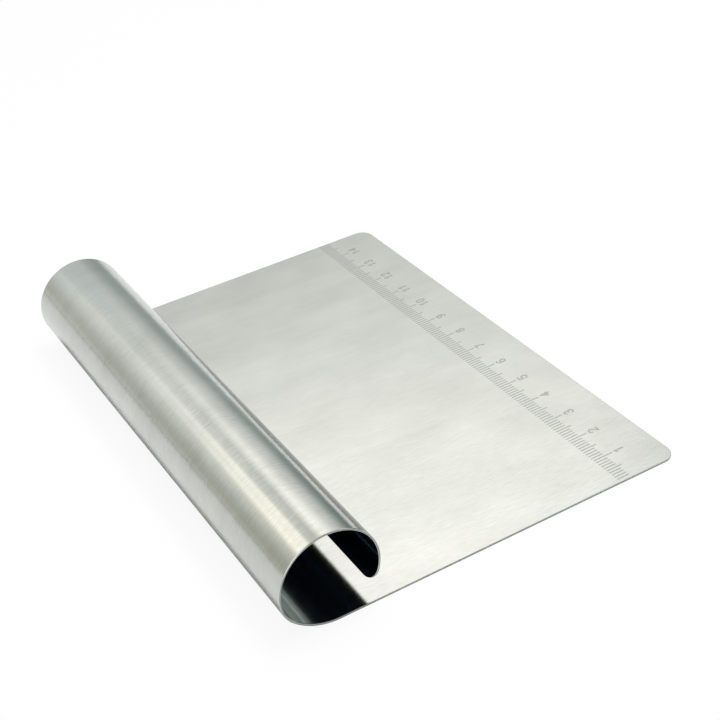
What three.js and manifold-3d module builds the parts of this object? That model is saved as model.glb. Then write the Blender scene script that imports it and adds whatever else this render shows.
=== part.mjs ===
// Dough scraper: one stainless-steel sheet, flat as the blade and rolled along one side into an open handle.
// Units are millimetres. +X points from the handle to the scraping edge, Y runs along the roll, +Z is up.
// The origin is under the middle of the whole footprint, on the surface that the blade lies on.

import * as THREE from "three";
import { mergeVertices } from "three/addons/utils/BufferGeometryUtils.js";
import Module from "manifold-3d";

const degrees = THREE.MathUtils.degToRad;

// The sheet
const SHEET_THICKNESS = 0.5;
const SHEET_LENGTH = 150; // along the roll, as the scale on the blade reads
const BLADE_DEPTH = 93.3; // flat part, from the bend line to the scraping edge
const CORNER_RADIUS = 3.8; // at the scraping edge and at the free lip

// The roll's middle line, in order from the blade: each arc's radius and the angle that it turns through
const HEEL_RADIUS = 15;
const HEEL_TURN = degrees(48);
const BACK_RADIUS = 8;
const BACK_TURN = degrees(33);
const CROWN_RADIUS = 12.6;
const CROWN_TURN = degrees(112);
const LIP_RADIUS = 11.4; // the last arc turns until the lip is down to its gap
const LIP_GAP = 4.75; // from the blade's upper face to the middle of the lip's edge

// Facets
const ARC_SEGMENTS = 12;
const CORNER_SEGMENTS = 12;
const CUT_MARGIN = 1; // how far a corner cut reaches past the edges that it trims

const HALF_SHEET = SHEET_THICKNESS / 2;
const HALF_LENGTH = SHEET_LENGTH / 2;
const FULL_TURN = 2 * Math.PI;

const wasm = await Module();
wasm.setup();

const brushedSteel = () =>
  new THREE.MeshStandardMaterial({ color: 0xc8cac5, metalness: 1, roughness: 0.32 });

// The roll's arcs as centre, radius and the turn at which each starts and ends.
// A turn of 0 heads towards -X along the blade, and the sheet then goes up, over and down again.
// Seen from an arc's centre, the point at turn t lies in the direction (-sin t, -cos t).
function rollArcs() {
  const arcs = [];
  const centre = new THREE.Vector2(0, HALF_SHEET);
  let radiusBefore = 0;
  let turn = 0;
  const addArc = (radius, turnAtEnd) => {
    const step = radiusBefore - radius;
    centre.x -= step * Math.sin(turn);
    centre.y -= step * Math.cos(turn);
    const end = turnAtEnd(centre);
    arcs.push({ centre: centre.clone(), radius, start: turn, end });
    radiusBefore = radius;
    turn = end;
  };
  addArc(HEEL_RADIUS, () => turn + HEEL_TURN);
  addArc(BACK_RADIUS, () => turn + BACK_TURN);
  addArc(CROWN_RADIUS, () => turn + CROWN_TURN);
  const lipHeight = SHEET_THICKNESS + LIP_GAP;
  addArc(LIP_RADIUS, (c) => FULL_TURN - Math.acos((c.y - lipHeight) / LIP_RADIUS));
  return arcs;
}

// Where the middle line, moved outwards by offset, is at the end of an arc or at a given turn of it.
function pointOn(arc, turn, offset = 0) {
  const reach = arc.radius + offset;
  return new THREE.Vector2(
    arc.centre.x - reach * Math.sin(turn),
    arc.centre.y - reach * Math.cos(turn),
  );
}

// The roll's section: outwards along its outer face, round the lip's edge and back along its inner face.
function rollSection(arcs) {
  const angleFromCentre = (turn) => -Math.PI / 2 - turn;
  const section = new THREE.Shape();
  section.moveTo(0, 0);
  for (const { centre, radius, start, end } of arcs) {
    const outer = radius + HALF_SHEET;
    section.absarc(centre.x, centre.y, outer, angleFromCentre(start), angleFromCentre(end), true);
  }
  for (const { centre, radius, start, end } of [...arcs].reverse()) {
    const inner = radius - HALF_SHEET;
    section.absarc(centre.x, centre.y, inner, angleFromCentre(end), angleFromCentre(start), false);
  }
  section.closePath();
  return section;
}

function toSolid(geometry) {
  const bare = geometry.clone();
  bare.deleteAttribute("normal");
  bare.deleteAttribute("uv");
  const merged = mergeVertices(bare);
  return new wasm.Manifold(
    new wasm.Mesh({
      numProp: 3,
      vertProperties: merged.attributes.position.array,
      triVerts: new Uint32Array(merged.index.array),
    }),
  );
}

function toGeometry(solid) {
  const { vertProperties, triVerts } = solid.getMesh();
  const geometry = new THREE.BufferGeometry();
  geometry.setAttribute("position", new THREE.BufferAttribute(vertProperties, 3));
  geometry.setIndex(new THREE.BufferAttribute(triVerts, 1));
  geometry.computeVertexNormals();
  return geometry;
}

// What is trimmed off a square corner at (0, 0) to round it, as a prism through the sheet.
// The sheet lies on the +X and +Y side of the corner.
function cornerOffcut() {
  const radius = CORNER_RADIUS;
  const offcut = new THREE.Shape();
  offcut.moveTo(-CUT_MARGIN, -CUT_MARGIN);
  offcut.lineTo(radius, -CUT_MARGIN);
  offcut.lineTo(radius, 0);
  offcut.absarc(radius, radius, radius, -Math.PI / 2, -Math.PI, true);
  offcut.lineTo(-CUT_MARGIN, radius);
  offcut.closePath();
  const depth = 2 * radius;
  const prism = new THREE.ExtrudeGeometry(offcut, {
    depth,
    bevelEnabled: false,
    curveSegments: CORNER_SEGMENTS,
  });
  return prism.translate(0, 0, -depth / 2);
}

function makeBlade() {
  const outline = new THREE.Shape();
  const cornerX = BLADE_DEPTH - CORNER_RADIUS;
  const cornerY = HALF_LENGTH - CORNER_RADIUS;
  outline.moveTo(0, HALF_LENGTH);
  outline.lineTo(0, -HALF_LENGTH);
  outline.absarc(cornerX, -cornerY, CORNER_RADIUS, -Math.PI / 2, 0, false);
  outline.absarc(cornerX, cornerY, CORNER_RADIUS, 0, Math.PI / 2, false);
  outline.closePath();
  const panel = new THREE.ExtrudeGeometry(outline, {
    depth: SHEET_THICKNESS,
    bevelEnabled: false,
    curveSegments: CORNER_SEGMENTS,
  });
  const blade = new THREE.Mesh(panel, brushedSteel());
  blade.name = "blade";
  return blade;
}

function makeRolledHandle(arcs) {
  const tube = new THREE.ExtrudeGeometry(rollSection(arcs), {
    depth: SHEET_LENGTH,
    bevelEnabled: false,
    curveSegments: ARC_SEGMENTS,
  });
  tube.rotateX(Math.PI / 2).translate(0, HALF_LENGTH, 0);

  // Each end of the lip is trimmed by an offcut that stands square to the sheet there:
  // its X runs back up the sheet from the lip's edge, and its Y runs in from the roll's end.
  const lip = arcs.at(-1);
  const edge = pointOn(lip, lip.end);
  const upTheSheet = new THREE.Vector3(Math.cos(lip.end), 0, -Math.sin(lip.end));
  let solid = toSolid(tube);
  for (const side of [-1, 1]) {
    const inwards = new THREE.Vector3(0, -side, 0);
    const throughSheet = new THREE.Vector3().crossVectors(upTheSheet, inwards);
    const place = new THREE.Matrix4().makeBasis(upTheSheet, inwards, throughSheet);
    place.setPosition(edge.x, side * HALF_LENGTH, edge.y);
    solid = solid.subtract(toSolid(cornerOffcut().applyMatrix4(place)));
  }
  const handle = new THREE.Mesh(toGeometry(solid), brushedSteel());
  handle.name = "rolled_handle";
  return handle;
}

// How far the roll's back stands behind the bend line: its outer face at a quarter turn.
function rollReach(arcs) {
  const quarterTurn = Math.PI / 2;
  const back = arcs.find(({ start, end }) => start <= quarterTurn && quarterTurn <= end);
  return -pointOn(back, quarterTurn, HALF_SHEET).x;
}

const arcs = rollArcs();
const scraper = new THREE.Group();
scraper.add(makeBlade(), makeRolledHandle(arcs));
scraper.position.x = (rollReach(arcs) - BLADE_DEPTH) / 2;

const part = new THREE.Group();
part.add(scraper);

export default part;
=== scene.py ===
# Dough scraper: one brushed stainless sheet, flat as the blade and rolled along one side into an
# open handle. Metres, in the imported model's frame: +X points to the scraping edge, Y runs along
# the roll and +Z is up.

import bpy
import numpy as np
from mathutils import Matrix, Vector


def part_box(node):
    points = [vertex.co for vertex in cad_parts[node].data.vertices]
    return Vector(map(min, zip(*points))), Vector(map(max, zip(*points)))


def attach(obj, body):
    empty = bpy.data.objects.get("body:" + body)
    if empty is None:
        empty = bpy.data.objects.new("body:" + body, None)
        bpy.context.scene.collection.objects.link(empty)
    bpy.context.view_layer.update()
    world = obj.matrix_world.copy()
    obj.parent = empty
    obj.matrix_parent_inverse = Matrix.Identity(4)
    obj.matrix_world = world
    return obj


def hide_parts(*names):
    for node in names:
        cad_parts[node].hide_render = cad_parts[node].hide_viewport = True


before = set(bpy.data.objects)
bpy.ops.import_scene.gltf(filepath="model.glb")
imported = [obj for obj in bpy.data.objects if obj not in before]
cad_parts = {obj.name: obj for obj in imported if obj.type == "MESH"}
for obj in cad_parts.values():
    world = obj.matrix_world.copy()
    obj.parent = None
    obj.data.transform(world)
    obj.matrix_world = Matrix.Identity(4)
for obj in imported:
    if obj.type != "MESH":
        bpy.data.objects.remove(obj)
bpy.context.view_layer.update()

MM = 0.001

# The sheet's own sizes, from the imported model
blade_low, blade_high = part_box("blade")
EDGE_X = blade_high.x
BEND_X = blade_low.x
BLADE_DEPTH = EDGE_X - BEND_X
SHEET_THICKNESS = blade_high.z - blade_low.z
SHEET_LENGTH = blade_high.y - blade_low.y
HALF_SHEET = SHEET_THICKNESS / 2
HALF_LENGTH = SHEET_LENGTH / 2

# The roll's middle line in order from the blade, as radius and turn, with the part's own sizes
HEEL = (15.0 * MM, np.radians(48))
BACK = (8.0 * MM, np.radians(33))
CROWN = (12.6 * MM, np.radians(112))
LIP_RADIUS = 11.4 * MM
LIP_GAP = 4.75 * MM
CORNER_RADIUS = 3.8 * MM

# The sheet's mesh
EDGE_ROUNDING = 0.15 * MM
ROUNDING_STEPS = 4
CORNER_STEPS = 12
BLADE_ROWS = 30
TURN_STEP = np.radians(2.5)
COLUMNS = 50
BORDER_SUPPORT = 0.12 * MM  # from a side's border to the first column inside it
BLANK_MAP = "blank_mm"
OUTER_SIDE = "outer_side"

# The scale: places are distances from the scraping edge, and along the roll from the end at -Y
SCALE_ZERO = 0.35 * MM
TICK_STEP = 1.0 * MM
TICK_COUNT = 149
TICKS_PER_HALF = 5
TICKS_PER_WHOLE = 10
TICK_ROOT = 17.3 * MM
TICK_LENGTH = 3.55 * MM
HALF_TICK_LENGTH = 4.6 * MM
WHOLE_TICK_LENGTH = 5.6 * MM
TICK_WIDTH = 0.37 * MM
NUMERAL_BASE = 8.35 * MM
NUMERAL_HEIGHT = 2.65 * MM
NUMERAL_STROKE = 0.52 * MM
ETCH_LIFT = 0.010 * MM
ETCH_DEPTH = 0.060 * MM
STROKE_LIFT = 0.0005 * MM
STROKE_CAP = np.radians([75, 50, 25])  # where a stroke's round end has its points
CURVE_STEP = 15  # degrees of a numeral's curve per step

# The numerals' widths, as shares of their height
NUMERAL_WIDTH = 0.56
NUMERAL_GAP = 0.22

# The sheet's brushing, with its sizes in millimetres on the flat blank
BELT_SKEW = np.radians(3)
LANE_WIDTH = 0.25
LANE_STRIDE = 21.48  # steps of the noise per millimetre across the lanes
SCRATCH_LENGTH = 3
PASS_WIDTH = 4.5
PASS_LENGTH = 120
CLOUD_WIDTH = 16
CLOUD_LENGTH = 20
DEEPENED_BY = 10  # past the bend line
# Where the painted shade inside the roll begins, and where it is full
PAINTED_SHADE_FROM = 12  # past the bend line
PAINTED_SHADE_FULL_BY = 18  # past the bend line
CLOUD_SHARE = 0.7  # in the tone of a patch: the rest is the belt passes' share
SCRATCH_TONE = 0.75  # how far a scratch moves the tone
SCRATCH_TILT = 0.03  # how far a scratch leans the face

# The other finishes' grain
SHEAR_MARKS = 0.4 * MM
SHEAR_DEPTH = 0.01 * MM
ETCH_GRAIN = 0.3 * MM
BOARD_FIBRE = 5 * MM
NOISE_LOW = 0.3  # most of a noise's values lie between these two
NOISE_HIGH = 0.7

# The floor
FLOOR_HALF_SIZE = 40.0
FLOOR_DROP = 0.1 * MM
FLOOR_LIFT = 0.92  # the share of plain white in what the camera sees of it
TOUCHING_WITHIN = 5 * FLOOR_DROP

# The room's light
PANELS = 7
NEAR_STRENGTH = 0.99
FAR_STRENGTH = 1.80

# The lamps: where each stands, its size and its power
KEY_LAMP = (Vector((0.21, 0.0, 0.8)), 0.17, 3.5)
FILL_LAMP = (Vector((0.45, 0.0, 2.45)), 3.0, 72.0)
SOFT_BOX = (Vector((-0.75, -0.60, 0.30)), 0.9, 5.0)

# The camera, from the scale's ticks and the straight edges in the photograph
CAMERA_PLACE = Vector((-130.62, -285.61, 213.68)) * MM
CAMERA_AIM = Vector((14.04, 10.27, 0.5)) * MM
CAMERA_ROLL = np.radians(-7.28)
CAMERA_LENS = 71.33
CAMERA_SENSOR = 36.0
CAMERA_NEAREST = 10 * MM


def linear(hex_colour):
    """An sRGB hex colour as linear RGBA."""
    srgb = np.array([int(hex_colour[i : i + 2], 16) for i in (1, 3, 5)]) / 255
    lin = np.where(srgb <= 0.04045, srgb / 12.92, ((srgb + 0.055) / 1.055) ** 2.4)
    return (*lin.tolist(), 1.0)


def node(tree, kind, inputs=None, **settings):
    """Adds a node with its settings, and fills its inputs with values or with links: from an
    output of another node, or from the first output where the node itself is given. A Map Range's
    inputs 0 to 4 are its value, the two ends of that value's range, and what it gives there. A
    Mix's input 0 is its factor, 2 and 3 are its numbers, and 6 and 7 are its colours, which come
    out at 2."""
    made = tree.nodes.new(kind)
    for name, value in settings.items():
        setattr(made, name, value)
    for key, value in (inputs or {}).items():
        source = value.outputs[0] if isinstance(value, bpy.types.Node) else value
        if isinstance(source, bpy.types.NodeSocket):
            tree.links.new(source, made.inputs[key])
        else:
            made.inputs[key].default_value = source
    return made


def shade(ramp, stops):
    """Sets a Color Ramp's stops, given as place and hex colour."""
    while len(ramp.color_ramp.elements) < len(stops):
        ramp.color_ramp.elements.new(1.0)
    for element, (place, hex_colour) in zip(ramp.color_ramp.elements, stops):
        element.position = place
        element.color = linear(hex_colour)


def new_material(name):
    """An empty node material and its node tree."""
    material = bpy.data.materials.new(name)
    material.use_nodes = True
    material.node_tree.nodes.clear()
    return material, material.node_tree


# The sheet's shape


def roll_arcs():
    """The roll's middle line as arcs that run on from each other without a kink: each centre lies
    on the line through the last centre and the point where the two arcs meet, so it moves by the
    difference of the radii. Gives centre x, centre z, radius, turn at the start and length for
    each arc."""
    arcs = []
    centre = np.array([BEND_X, HALF_SHEET])
    radius_before = 0.0
    turn = 0.0

    def centre_after(radius):
        return centre + (radius_before - radius) * np.array([-np.sin(turn), -np.cos(turn)])

    for radius, arc_turn in (HEEL, BACK, CROWN):
        centre = centre_after(radius)
        arcs.append((*centre, radius, turn, radius * arc_turn))
        radius_before = radius
        turn += arc_turn
    centre = centre_after(LIP_RADIUS)
    lip_height = SHEET_THICKNESS + LIP_GAP
    lip_end = 2 * np.pi - np.arccos((centre[1] - lip_height) / LIP_RADIUS)
    arcs.append((*centre, LIP_RADIUS, turn, LIP_RADIUS * (lip_end - turn)))
    return np.array(arcs)


ARCS = roll_arcs()
ARC_STARTS = BLADE_DEPTH + np.concatenate([[0.0], np.cumsum(ARCS[:, 4])])
BLANK_DEPTH = ARC_STARTS[-1]


def on_sheet(distance, along, offset):
    """Where a point of the flat blank lies once the blank is rolled. distance is measured on the
    blank from the scraping edge, along is the place along the roll, and offset is the height over
    the middle of the sheet's thickness, towards the blade's upper face. On the blade x falls as
    distance grows. On an arc the turn grows by distance over radius, and the point is
    centre + (radius - offset) (-sin turn, -cos turn)."""
    distance, along, offset = np.broadcast_arrays(distance, along, offset)
    which = np.clip(np.searchsorted(ARC_STARTS, distance, side="right") - 1, 0, len(ARCS) - 1)
    centre_x, centre_z, radius, turn_before, _ = np.moveaxis(ARCS[which], -1, 0)
    turn = turn_before + (distance - ARC_STARTS[which]) / radius
    reach = radius - offset
    flat = distance <= BLADE_DEPTH
    x = np.where(flat, EDGE_X - distance, centre_x - reach * np.sin(turn))
    z = np.where(flat, HALF_SHEET + offset, centre_z - reach * np.cos(turn))
    return np.stack([x, along, z], axis=-1)


def blank_grid(inset):
    """A grid over the flat blank, a rectangle with round corners, drawn in by inset on every side.
    Rows cross the blank at growing distance: r (1 - cos a) through a corner, where the half width
    is the straight part's plus r sin a, then even steps on the blade and even turns on the roll.
    Gives the distance and along of each point."""
    corner = CORNER_RADIUS - inset
    angle = np.linspace(0, np.pi / 2, CORNER_STEPS + 1)
    corner_rows = inset + corner * (1 - np.cos(angle))
    corner_halves = HALF_LENGTH - CORNER_RADIUS + corner * np.sin(angle)
    blade_rows = np.linspace(CORNER_RADIUS, BLADE_DEPTH, BLADE_ROWS)[1:]
    arc_rows = []
    for start, (_, _, radius, _, length) in zip(ARC_STARTS, ARCS):
        end = min(start + length, BLANK_DEPTH - CORNER_RADIUS)
        steps = int(np.ceil((end - start) / radius / TURN_STEP))
        arc_rows.append(np.linspace(start, end, steps + 1)[1:])
    lip_rows = BLANK_DEPTH - corner_rows[::-1][1:]
    rows = np.concatenate([corner_rows, blade_rows, *arc_rows, lip_rows])
    halves = np.full(len(rows), HALF_LENGTH - inset)
    halves[: CORNER_STEPS + 1] = corner_halves
    halves[-CORNER_STEPS - 1 :] = corner_halves[::-1]
    support = BORDER_SUPPORT / HALF_LENGTH
    inner = np.linspace(-1 + support, 1 - support, COLUMNS)
    across = np.concatenate([[-1.0], inner, [1.0]])
    return np.repeat(rows[:, None], len(across), axis=1), halves[:, None] * across


def border(grid):
    """The values on a grid's border, once round: the scraping edge, one side, the lip and back."""
    return np.concatenate([grid[0, :-1], grid[:-1, -1], grid[-1, :0:-1], grid[:0:-1, 0]])


def sheet_surface():
    """The whole skin of the sheet: an upper and a lower face on the blank's grid, half a thickness
    off its middle, and a rim that joins their borders. The rim is carried round the outline with a
    profile of two quarter circles, where the inset is rho (1 - cos a) and the height falls from
    half the thickness by rho (1 - sin a). Gives the points, each point's place on the blank and
    whether it is on the rim or the lower face, the quads of the faces with the rim's round edges,
    and the quads of the flat cut between those edges."""
    distance, along = blank_grid(EDGE_ROUNDING)
    quarter = np.linspace(np.pi / 2, 0, ROUNDING_STEPS + 1)
    insets = EDGE_ROUNDING * (1 - np.cos(quarter[1:]))
    heights = HALF_SHEET - EDGE_ROUNDING * (1 - np.sin(quarter[1:]))
    insets = np.concatenate([insets, insets[::-1]])
    heights = np.concatenate([heights, -heights[::-1]])
    loops = [[border(values) for values in blank_grid(inset)] for inset in insets]
    loop_points = [on_sheet(d, a, height) for (d, a), height in zip(loops, heights)]
    points = np.concatenate([
        on_sheet(distance, along, HALF_SHEET).reshape(-1, 3),
        on_sheet(distance, along, -HALF_SHEET).reshape(-1, 3),
        *loop_points,
    ])
    face_places = np.stack([along, distance], axis=-1).reshape(-1, 2)
    loop_places = [np.stack([a, d], axis=-1) for d, a in loops]
    places = np.concatenate([face_places, face_places, *loop_places])
    is_outer = np.arange(len(points)) >= distance.size

    upper = np.arange(distance.size).reshape(distance.shape)
    lower = upper + distance.size
    corners = [upper[:-1, :-1], upper[:-1, 1:], upper[1:, 1:], upper[1:, :-1]]
    upper_quads = np.stack(corners, axis=-1).reshape(-1, 4)
    lower_quads = (upper_quads + distance.size)[:, ::-1]

    rim_size = len(border(upper))
    rim_start = 2 * distance.size
    loop_rows = rim_start + np.arange(len(insets) * rim_size).reshape(len(insets), rim_size)
    rim = np.concatenate([border(upper)[None], loop_rows, border(lower)[None]])
    following = np.roll(rim, -1, axis=1)
    bands = np.stack([rim[:-1], rim[1:], following[1:], following[:-1]], axis=-1)
    cut_quads = bands[ROUNDING_STEPS]
    round_quads = np.delete(bands, ROUNDING_STEPS, axis=0).reshape(-1, 4)
    face_quads = np.concatenate([upper_quads, lower_quads, round_quads])
    return points, places, is_outer, face_quads, cut_quads


def new_piece(name, points, quads, materials, smooth=True):
    """A mesh object at the origin, with its place in its mesh, shaded smooth or flat."""
    mesh = bpy.data.meshes.new(name)
    mesh.from_pydata(points, [], quads)
    for material in materials:
        mesh.materials.append(material)
    mesh.polygons.foreach_set("use_smooth", np.full(len(quads), smooth))
    mesh.update()
    piece = bpy.data.objects.new(name, mesh)
    bpy.context.scene.collection.objects.link(piece)
    return piece


def make_sheet(face_material, cut_material):
    """The sheet with its own UV map, which holds each point's place on the flat blank in
    millimetres, and with an attribute that is 1 on the rim and on the lower face, which is the
    outside of the roll."""
    points, places, is_outer, face_quads, cut_quads = sheet_surface()
    quads = np.concatenate([face_quads, cut_quads])
    sheet = new_piece("rolled_sheet", points, quads, [face_material, cut_material])
    is_cut = np.arange(len(quads)) >= len(face_quads)
    sheet.data.polygons.foreach_set("material_index", is_cut.astype(np.int32))
    uv = sheet.data.uv_layers.new(name=BLANK_MAP)
    uv.data.foreach_set("uv", (places[quads.ravel()] / MM).astype(np.float32).ravel())
    outer_side = sheet.data.attributes.new(OUTER_SIDE, "FLOAT", "POINT")
    outer_side.data.foreach_set("value", is_outer.astype(np.float32))
    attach(sheet, "root")
    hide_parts("blade", "rolled_handle")


# The scale's shapes


def straight(x0, y0, x1, y1):
    """A straight stroke of a numeral, on a unit height with x to the right and y up."""
    return np.array([[x0, y0], [x1, y1]])


def curved(centre_x, centre_y, radius_x, radius_y, start, end):
    """A curved stroke of a numeral: centre + (radius_x cos a, radius_y sin a), an ellipse's arc
    between two angles in degrees."""
    angle = np.radians(np.linspace(start, end, int(abs(end - start) / CURVE_STEP) + 2))
    x = centre_x + radius_x * np.cos(angle)
    y = centre_y + radius_y * np.sin(angle)
    return np.stack([x, y], axis=-1)


NUMERALS = {
    "0": [curved(0.28, 0.5, 0.24, 0.46, 90, 450)],
    "1": [straight(0.12, 0.75, 0.32, 0.96), straight(0.32, 0.96, 0.32, 0.04)],
    "2": [
        curved(0.28, 0.69, 0.23, 0.27, 170, -35),
        straight(0.468, 0.535, 0.05, 0.04),
        straight(0.05, 0.04, 0.52, 0.04),
    ],
    "3": [curved(0.26, 0.73, 0.20, 0.23, 155, -90), curved(0.26, 0.27, 0.24, 0.23, 90, -155)],
    "4": [
        straight(0.40, 0.04, 0.40, 0.96),
        straight(0.40, 0.96, 0.04, 0.30),
        straight(0.04, 0.30, 0.54, 0.30),
    ],
    "5": [
        straight(0.49, 0.96, 0.12, 0.96),
        straight(0.12, 0.96, 0.08, 0.52),
        curved(0.27, 0.33, 0.25, 0.29, 140, -155),
    ],
    "6": [curved(0.33, 0.40, 0.28, 0.56, 65, 180), curved(0.28, 0.30, 0.23, 0.26, 180, -180)],
    "7": [straight(0.05, 0.96, 0.52, 0.96), straight(0.52, 0.96, 0.20, 0.04)],
    "8": [curved(0.28, 0.74, 0.19, 0.22, 0, 360), curved(0.28, 0.28, 0.23, 0.24, 0, 360)],
    "9": [curved(0.23, 0.60, 0.28, 0.56, -115, 0), curved(0.28, 0.70, 0.23, 0.26, 0, 360)],
}


def stroke_surface(path, width, lift):
    """A flat stroke with round ends, as a rectangular profile carried along a path on the blade.
    At each end the path runs on by h sin a while the half width falls as h cos a, where h is half
    the stroke's width. Its top stands lift proud of the blade and rises by a hair along the path,
    so that a loop's end doesn't share a plane with its start. Gives the points and quads of the
    closed stroke, whose bottom is sunk into the blade."""
    half = width / 2
    cap = STROKE_CAP
    step = np.diff(path, axis=0)
    heading = step / np.linalg.norm(step, axis=1)[:, None]
    headings = np.concatenate([heading[:1], heading[:-1] + heading[1:], heading[-1:]])
    headings /= np.linalg.norm(headings, axis=1)[:, None]
    before = path[0] - half * np.sin(cap)[:, None] * headings[0]
    after = path[-1] + half * np.sin(cap[::-1])[:, None] * headings[-1]
    middle = np.concatenate([before, path, after])
    first = np.repeat(headings[:1], len(cap), axis=0)
    last = np.repeat(headings[-1:], len(cap), axis=0)
    ahead = np.concatenate([first, headings, last])
    halves = half * np.concatenate([np.cos(cap), np.ones(len(path)), np.cos(cap[::-1])])
    side = np.stack([-ahead[:, 1], ahead[:, 0]], axis=-1) * halves[:, None]
    top = SHEET_THICKNESS + lift + np.linspace(0, STROKE_LIFT, len(middle))[:, None]
    bottom = np.full((len(middle), 1), SHEET_THICKNESS - ETCH_DEPTH)
    profile = [
        np.hstack([middle + side, top]),
        np.hstack([middle - side, top]),
        np.hstack([middle - side, bottom]),
        np.hstack([middle + side, bottom]),
    ]
    points = np.stack(profile, axis=1)
    index = np.arange(points.size // 3).reshape(-1, 4)
    turned = np.roll(index, -1, axis=1)
    walls = np.stack([index[:-1], turned[:-1], turned[1:], index[1:]], axis=-1).reshape(-1, 4)
    ends = np.array([index[0, ::-1], index[-1]])
    return points.reshape(-1, 3), np.concatenate([walls, ends])


def joined(surfaces):
    """Several surfaces' points and quads as one."""
    counts = np.cumsum([0] + [len(points) for points, _ in surfaces])
    quads = [quads + first for (_, quads), first in zip(surfaces, counts)]
    return np.concatenate([points for points, _ in surfaces]), np.concatenate(quads)


def scale_place(tick):
    """Where a tick of the scale stands along the roll."""
    return -HALF_LENGTH + SCALE_ZERO + tick * TICK_STEP


def tick_length(tick):
    """How long a tick is: longer at each half centimetre and longest at each whole one."""
    if tick % TICKS_PER_WHOLE == 0:
        return WHOLE_TICK_LENGTH
    if tick % TICKS_PER_HALF == 0:
        return HALF_TICK_LENGTH
    return TICK_LENGTH


def tick_strokes():
    """One straight stroke per millimetre. All start on one line and run towards the scraping
    edge."""
    root_x = EDGE_X - TICK_ROOT
    cap = TICK_WIDTH / 2
    strokes = []
    for tick in range(1, TICK_COUNT + 1):
        y = scale_place(tick)
        path = np.array([[root_x + cap, y], [root_x + tick_length(tick) - cap, y]])
        strokes.append(stroke_surface(path, TICK_WIDTH, ETCH_LIFT))
    return strokes


def numeral_strokes():
    """The centimetre numerals, each centred on its long tick, with their tops towards the handle.
    Each stroke of a numeral lies a hair above the last, so that no two of its faces share a
    plane."""
    strokes = []
    for tick in range(TICKS_PER_WHOLE, TICK_COUNT + 1, TICKS_PER_WHOLE):
        text = str(tick // TICKS_PER_WHOLE)
        width = len(text) * NUMERAL_WIDTH + (len(text) - 1) * NUMERAL_GAP
        for place, digit in enumerate(text):
            start = place * (NUMERAL_WIDTH + NUMERAL_GAP) - width / 2
            for layer, glyph in enumerate(NUMERALS[digit]):
                x = EDGE_X - NUMERAL_BASE - glyph[:, 1] * NUMERAL_HEIGHT
                y = scale_place(tick) + (start + glyph[:, 0]) * NUMERAL_HEIGHT
                path = np.stack([x, y], axis=-1)
                lift = ETCH_LIFT + 2 * layer * STROKE_LIFT
                strokes.append(stroke_surface(path, NUMERAL_STROKE, lift))
    return strokes


def make_marks(name, strokes, material):
    """The strokes of one kind of mark as one piece."""
    marks = new_piece(name, *joined(strokes), [material], smooth=False)
    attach(marks, "root")


# The finishes


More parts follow.
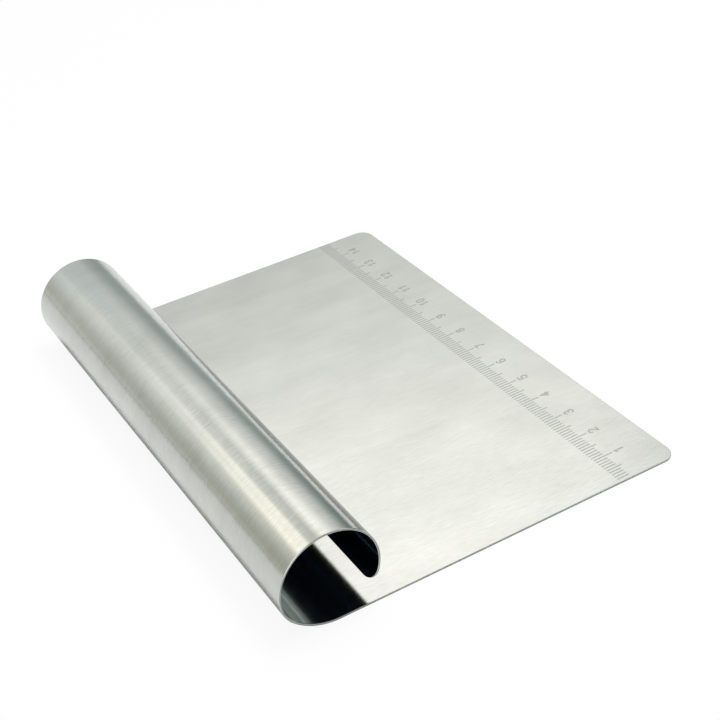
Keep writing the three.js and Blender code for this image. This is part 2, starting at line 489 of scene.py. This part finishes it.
def brushed_stainless():
    """Stainless sheet brushed on a belt. The eye sees a pale, slightly warm grey metal whose
    reflections are drawn out across fine straight scratches, which run from the scraping edge up
    the blade and round the roll."""
    material, tree = new_material("stainless sheet, belt brushed")
    blank = node(tree, "ShaderNodeUVMap", uv_map=BLANK_MAP)
    # The belt ran a little askew over the blank
    turned = node(tree, "ShaderNodeMapping", {"Vector": blank, "Rotation": (0, 0, BELT_SKEW)})
    # Real scratches are about 0.05 mm apart: each is drawn as a wider lane, so that the render can
    # show it, and a lane's own line through the noise is far from its neighbours' lines
    places = node(tree, "ShaderNodeSeparateXYZ", {0: turned})
    lane = node(tree, "ShaderNodeMath", {0: places.outputs[0], 1: LANE_WIDTH}, operation="SNAP")
    apart = node(tree, "ShaderNodeMath", {0: lane, 1: LANE_STRIDE}, operation="MULTIPLY")
    per_scratch = {0: places.outputs[1], 1: 1 / SCRATCH_LENGTH}
    run = node(tree, "ShaderNodeMath", per_scratch, operation="MULTIPLY")
    lane_at = node(tree, "ShaderNodeCombineXYZ", {0: apart, 1: run})
    streak = node(tree, "ShaderNodeTexNoise", {"Vector": lane_at, "Scale": 1.0, "Detail": 1.0})
    # Passes of the belt, a few millimetres wide and longer than the blade
    per_pass = {0: turned, 1: (1 / PASS_WIDTH, 1 / PASS_LENGTH, 0)}
    pass_at = node(tree, "ShaderNodeVectorMath", per_pass, operation="MULTIPLY")
    passes = node(tree, "ShaderNodeTexNoise", {"Vector": pass_at, "Scale": 1.0, "Detail": 3.0})
    # Handling leaves faint clouds
    per_cloud = {0: blank, 1: (1 / CLOUD_WIDTH, 1 / CLOUD_LENGTH, 0)}
    cloud_at = node(tree, "ShaderNodeVectorMath", per_cloud, operation="MULTIPLY")
    cloud = node(tree, "ShaderNodeTexNoise", {"Vector": cloud_at, "Scale": 1.0, "Detail": 2.0})
    patch = node(tree, "ShaderNodeMix", {0: CLOUD_SHARE, 2: passes, 3: cloud}, data_type="FLOAT")
    rough = node(tree, "ShaderNodeMapRange", {
        0: streak,
        1: NOISE_LOW,
        2: NOISE_HIGH,
        3: 0.15,
        4: 0.12,
    })
    # The rolls that bent the sheet deepened the scratches on the outside of the bend
    from_edge = node(tree, "ShaderNodeSeparateXYZ", {0: blank}).outputs[1]
    bend_line = BLADE_DEPTH / MM
    bent = node(tree, "ShaderNodeMapRange", {
        0: from_edge,
        1: bend_line,
        2: bend_line + DEEPENED_BY,
    })
    outer = node(tree, "ShaderNodeAttribute", attribute_name=OUTER_SIDE).outputs["Fac"]
    rolled = node(tree, "ShaderNodeMath", {0: bent, 1: outer}, operation="MULTIPLY")
    depth = node(tree, "ShaderNodeMapRange", {0: rolled, 3: 0.6, 4: 1.0})
    side = node(tree, "ShaderNodeMath", {0: streak, 1: 0.5}, operation="SUBTRACT")
    scratch = node(tree, "ShaderNodeMath", {0: side, 1: depth}, operation="MULTIPLY")
    over_patch = {0: scratch, 1: SCRATCH_TONE, 2: patch}
    tone = node(tree, "ShaderNodeMath", over_patch, operation="MULTIPLY_ADD")
    bright = node(tree, "ShaderNodeValToRGB", {"Fac": tone})
    shade(bright, [(0.2, "#bbbbb6"), (0.8, "#cfcfca")])
    # Past the heel, the roll's inside is mixed to a dark blue grey: painted shade in its hollow
    deep = node(tree, "ShaderNodeMapRange", {
        0: from_edge,
        1: bend_line + PAINTED_SHADE_FROM,
        2: bend_line + PAINTED_SHADE_FULL_BY,
    })
    inner = node(tree, "ShaderNodeMath", {0: 1.0, 1: outer}, operation="SUBTRACT")
    inside = node(tree, "ShaderNodeMath", {0: deep, 1: inner}, operation="MULTIPLY")
    painted_shade = linear("#6a8aa2")
    colour = node(tree, "ShaderNodeMix", {0: inside, 6: bright, 7: painted_shade}, data_type="RGBA")
    # Each scratch tilts the face a little to one side
    tilt = node(tree, "ShaderNodeMath", {0: scratch, 1: SCRATCH_TILT}, operation="MULTIPLY")
    across = node(tree, "ShaderNodeTangent", direction_type="UV_MAP", uv_map=BLANK_MAP)
    lean = node(tree, "ShaderNodeVectorMath", {0: across, "Scale": tilt}, operation="SCALE")
    face = node(tree, "ShaderNodeNewGeometry").outputs["Normal"]
    leaning = node(tree, "ShaderNodeVectorMath", {0: face, 1: lean}, operation="ADD")
    normal = node(tree, "ShaderNodeVectorMath", {0: leaning}, operation="NORMALIZE")
    steel = node(tree, "ShaderNodeBsdfPrincipled", {
        "Base Color": colour.outputs[2],
        "Metallic": 1.0,
        "Roughness": rough,
        "Anisotropic": 0.8,
        "Tangent": across,
        "Normal": normal,
    })
    node(tree, "ShaderNodeOutputMaterial", {"Surface": steel})
    return material


def sheared_edge():
    """The sheet's cut edge, sheared and then tumbled. The eye sees a thin dull line, darker than
    the faces, with short uneven marks from the shear."""
    material, tree = new_material("stainless sheet, sheared and tumbled edge")
    place = node(tree, "ShaderNodeTexCoord").outputs["Object"]
    marks = node(tree, "ShaderNodeTexNoise", {
        "Vector": place,
        "Scale": 1 / SHEAR_MARKS,
        "Detail": 2.0,
    })
    colour = node(tree, "ShaderNodeValToRGB", {"Fac": marks})
    shade(colour, [(NOISE_LOW, "#78837e"), (NOISE_HIGH, "#8b9590")])
    rough = node(tree, "ShaderNodeMapRange", {
        0: marks,
        1: NOISE_LOW,
        2: NOISE_HIGH,
        3: 0.26,
        4: 0.36,
    })
    bump = node(tree, "ShaderNodeBump", {
        "Strength": 0.4,
        "Distance": SHEAR_DEPTH,
        "Height": marks,
    })
    steel = node(tree, "ShaderNodeBsdfPrincipled", {
        "Base Color": colour,
        "Metallic": 1.0,
        "Roughness": rough,
        "Normal": bump,
    })
    node(tree, "ShaderNodeOutputMaterial", {"Surface": steel})
    return material


def etched_marks():
    """Stainless darkened by an etch. The eye sees grey marks with less sheen than the sheet, a
    little uneven, because the etch bites less where the brushing is smooth."""
    material, tree = new_material("stainless sheet, electrolytically etched marks")
    place = node(tree, "ShaderNodeTexCoord").outputs["Object"]
    bite = node(tree, "ShaderNodeTexNoise", {
        "Vector": place,
        "Scale": 1 / ETCH_GRAIN,
        "Detail": 2.0,
    })
    colour = node(tree, "ShaderNodeValToRGB", {"Fac": bite})
    shade(colour, [(NOISE_LOW, "#a0a29d"), (NOISE_HIGH, "#adafaa")])
    rough = node(tree, "ShaderNodeMapRange", {
        0: bite,
        1: NOISE_LOW,
        2: NOISE_HIGH,
        3: 0.28,
        4: 0.20,
    })
    steel = node(tree, "ShaderNodeBsdfPrincipled", {
        "Base Color": colour,
        "Metallic": 1.0,
        "Roughness": rough,
    })
    node(tree, "ShaderNodeOutputMaterial", {"Surface": steel})
    return material


# The stage


def white_board():
    """The floor: matt pale board, most of whose brightness is lifted to plain white for what the
    camera and glass see of it, so that the shadow on it is a light one. What metal sees of it is
    lifted a little close by and more far off. It is clear from below, and for reflections of what
    touches it, to show the underside."""
    material, tree = new_material("white board, matt")
    place = node(tree, "ShaderNodeTexCoord").outputs["Object"]
    fibre = node(tree, "ShaderNodeTexNoise", {
        "Vector": place,
        "Scale": 1 / BOARD_FIBRE,
        "Detail": 2.0,
    })
    colour = node(tree, "ShaderNodeValToRGB", {"Fac": fibre})
    shade(colour, [(NOISE_LOW, "#e1e4e3"), (NOISE_HIGH, "#e3e6e5")])
    lit = node(tree, "ShaderNodeBsdfDiffuse", {"Color": colour})
    plain = node(tree, "ShaderNodeEmission", {"Color": (1, 1, 1, 1), "Strength": 1.0})
    path = node(tree, "ShaderNodeLightPath")
    direct = path.outputs["Is Camera Ray"]
    through_glass = path.outputs["Is Transmission Ray"]
    off_metal = path.outputs["Is Glossy Ray"]
    length = path.outputs["Ray Length"]
    # The lamps light only the floor near the scraper, so metal sees more plain white far off
    far_off = node(tree, "ShaderNodeMapRange", {0: length, 1: 0.4, 2: 4.0, 3: 0.05, 4: 0.80})
    in_metal = node(tree, "ShaderNodeMath", {0: off_metal, 1: far_off}, operation="MULTIPLY")
    in_view = node(tree, "ShaderNodeMath", {0: direct, 1: through_glass}, operation="MAXIMUM")
    seen = node(tree, "ShaderNodeMath", {0: in_view, 1: in_metal}, operation="MAXIMUM")
    lift = node(tree, "ShaderNodeMath", {0: seen, 1: FLOOR_LIFT}, operation="MULTIPLY")
    board = node(tree, "ShaderNodeMixShader", {0: lift, 1: lit, 2: plain})
    below = node(tree, "ShaderNodeNewGeometry").outputs["Backfacing"]
    within = {0: length, 1: TOUCHING_WITHIN}
    touching = node(tree, "ShaderNodeMath", within, operation="LESS_THAN")
    open_at = node(tree, "ShaderNodeMath", {0: below, 1: touching}, operation="MAXIMUM")
    clear = node(tree, "ShaderNodeBsdfTransparent")
    both = node(tree, "ShaderNodeMixShader", {0: open_at, 1: board, 2: clear})
    node(tree, "ShaderNodeOutputMaterial", {"Surface": both})
    return material


def make_floor():
    """A flat square just under the blade."""
    corners = np.array([[-1, -1, 0], [1, -1, 0], [1, 1, 0], [-1, 1, 0]]) * FLOOR_HALF_SIZE
    points = corners - [0, 0, FLOOR_DROP]
    floor = new_piece("floor", points, np.array([[0, 1, 2, 3]]), [white_board()])


def make_studio():
    """Soft light from all round, worked out from the direction that it comes from. It is dim at
    the walls' height and bright above, where seven wide panels hang in a ring with darker gaps
    between them, and it falls off overhead. The brightness follows the direction's height z, and
    the gaps follow its compass angle, as the fraction of 7 angle / 2 pi + 1/2. The panel towards
    -X hangs low, the wall towards +X is dark, and the half of the room towards -Y is dimmer."""
    world = bpy.data.worlds.new("studio")
    bpy.context.scene.world = world
    # The lamps alone light the floor, so that its shade stays close to the scraper
    world.cycles_visibility.diffuse = False
    world.use_nodes = True
    tree = world.node_tree
    tree.nodes.clear()
    heading = node(tree, "ShaderNodeTexCoord").outputs["Generated"]
    east, north, height = node(tree, "ShaderNodeSeparateXYZ", {0: heading}).outputs
    glow = node(tree, "ShaderNodeValToRGB", {"Fac": height})
    shade(glow, [
        (0.00, "#b6b7b1"),
        (0.14, "#a3a49e"),
        (0.28, "#a9aca8"),
        (0.34, "#b3b6b4"),
        (0.40, "#bbbebc"),
        (0.47, "#c0c3c1"),
        (0.52, "#cacdcb"),
        (0.56, "#dadcda"),
        (0.60, "#edeeec"),
        (0.65, "#f5f5f3"),
        (0.70, "#fcfcfa"),
        (0.78, "#dcdcdc"),
        (0.90, "#c0c0c0"),
        (1.00, "#b8b8b8"),
    ])
    # The panel on the -X side hangs lower than the others
    beside = node(tree, "ShaderNodeMapRange", {0: east, 1: -0.38, 2: -0.30, 3: 1.0, 4: 0.0})
    above = node(tree, "ShaderNodeMapRange", {0: height, 1: 0.505, 2: 0.555, 3: 0.0, 4: 1.0})
    low_panel = node(tree, "ShaderNodeMath", {0: beside, 1: above}, operation="MULTIPLY")
    panel = linear("#fffffb")
    ring = node(tree, "ShaderNodeMix", {0: low_panel, 6: glow, 7: panel}, data_type="RGBA")
    # The wall on the +X side is darker and bluer than the rest, most of all straight across
    dark_wall = node(tree, "ShaderNodeValToRGB", {"Fac": east})
    shade(dark_wall, [(0.64, "#6c7c7e"), (0.82, "#10181d")])
    facing = node(tree, "ShaderNodeValToRGB", {"Fac": east})
    shade(facing, [
        (0.10, "#000000"),
        (0.35, "#d3d3d3"),
        (0.62, "#d7d7d7"),
        (0.82, "#ffffff"),
    ])
    # The dark wall's top falls towards +X
    reach = node(tree, "ShaderNodeMath", {0: east, 1: 0.6}, operation="MINIMUM")
    slope = {0: reach, 1: 0.71, 2: height}
    sloped = node(tree, "ShaderNodeMath", slope, operation="MULTIPLY_ADD")
    low = node(tree, "ShaderNodeMapRange", {0: sloped, 1: 0.566, 2: 0.774, 3: 1.0, 4: 0.0})
    wall = node(tree, "ShaderNodeMath", {0: facing, 1: low}, operation="MULTIPLY")
    walled = {0: wall, 6: ring.outputs[2], 7: dark_wall}
    room = node(tree, "ShaderNodeMix", walled, data_type="RGBA")
    # What the roll shows is warm at its near end and bluish at its far end
    tint = node(tree, "ShaderNodeValToRGB", {"Fac": north})
    shade(tint, [
        (0.70, "#fffcf2"),
        (0.77, "#fffefc"),
        (0.86, "#fafdff"),
    ])
    over_roll = node(tree, "ShaderNodeMapRange", {0: east, 1: 0.14, 2: 0.26, 3: 1.0, 4: 0.0})
    tinting = {0: over_roll, 6: room.outputs[2], 7: tint}
    tinted = node(tree, "ShaderNodeMix", tinting, data_type="RGBA", blend_type="MULTIPLY")
    # The gaps between the panels, which end below the top of the dome
    compass = node(tree, "ShaderNodeMath", {0: east, 1: north}, operation="ARCTAN2")
    round_ring = {0: compass, 1: PANELS / (2 * np.pi), 2: 0.5}
    panels = node(tree, "ShaderNodeMath", round_ring, operation="MULTIPLY_ADD")
    place = node(tree, "ShaderNodeMath", {0: panels}, operation="FRACT")
    gap = node(tree, "ShaderNodeValToRGB", {"Fac": place})
    shade(gap, [
        (0.228, "#000000"),
        (0.315, "#eeeeee"),
        (0.55, "#ffffff"),
        (0.61, "#ffffff"),
        (0.87, "#000000"),
    ])
    depth = node(tree, "ShaderNodeMapRange", {0: height, 1: 0.58, 2: 0.70, 3: 0.25, 4: 0.55})
    deep_gap = node(tree, "ShaderNodeMath", {0: gap, 1: depth}, operation="MULTIPLY")
    top = node(tree, "ShaderNodeMapRange", {0: height, 1: 0.75, 2: 0.95, 3: 1.0, 4: 0.0})
    dimming = node(tree, "ShaderNodeMath", {0: deep_gap, 1: top}, operation="MULTIPLY")
    # The bluish ceiling shows through the gaps
    ceiling = linear("#38565a")
    gapped = {0: dimming, 6: tinted.outputs[2], 7: ceiling}
    lit = node(tree, "ShaderNodeMix", gapped, data_type="RGBA")
    strength = node(tree, "ShaderNodeMapRange", {
        0: north,
        1: -0.3,
        2: 0.45,
        3: NEAR_STRENGTH,
        4: FAR_STRENGTH,
    })
    light = node(tree, "ShaderNodeBackground", {"Color": lit.outputs[2], "Strength": strength})
    node(tree, "ShaderNodeOutputWorld", {"Surface": light})


def make_lamp(name, place, size, watts):
    """A square lamp, aimed at the scraper and unseen by the camera."""
    data = bpy.data.lights.new(name, "AREA")
    data.shape = "SQUARE"
    data.size = size
    data.energy = watts
    lamp = bpy.data.objects.new(name, data)
    turn = place.to_track_quat("Z", "Y").to_matrix().to_4x4()
    lamp.matrix_world = Matrix.Translation(place) @ turn
    lamp.visible_camera = False
    bpy.context.scene.collection.objects.link(lamp)
    return lamp


def make_lamps():
    """Two lamps overhead light the floor: a small one shades it close beside the roll, and a wide
    one fills that shade. The metal's reflections leave both out, so that the blade doesn't glare
    when it is seen from above. A soft box to the left of the camera is only there for the metal:
    it draws the bright line on the near rim."""
    make_lamp("key_lamp", *KEY_LAMP).visible_glossy = False
    make_lamp("fill_lamp", *FILL_LAMP).visible_glossy = False
    make_lamp("soft_box", *SOFT_BOX).visible_diffuse = False


def make_camera():
    """The camera looks from its place to its aim, turned about that line by its roll."""
    data = bpy.data.cameras.new("camera")
    data.sensor_width = CAMERA_SENSOR
    data.lens = CAMERA_LENS
    data.clip_start = CAMERA_NEAREST
    forward = (CAMERA_AIM - CAMERA_PLACE).normalized()
    level_right = forward.cross(Vector((0, 0, 1))).normalized()
    level_up = level_right.cross(forward)
    right = level_right * np.cos(CAMERA_ROLL) + level_up * np.sin(CAMERA_ROLL)
    up = right.cross(forward)
    turn = Matrix((right, up, -forward)).transposed().to_4x4()
    camera = bpy.data.objects.new("camera", data)
    camera.matrix_world = Matrix.Translation(CAMERA_PLACE) @ turn
    bpy.context.scene.collection.objects.link(camera)
    bpy.context.scene.camera = camera


make_sheet(brushed_stainless(), sheared_edge())
etch = etched_marks()
make_marks("scale_ticks", tick_strokes(), etch)
make_marks("scale_numerals", numeral_strokes(), etch)
make_floor()
make_studio()
make_lamps()
make_camera()
bpy.context.scene.view_settings.view_transform = "Standard"

bpy.context.view_layer.update()
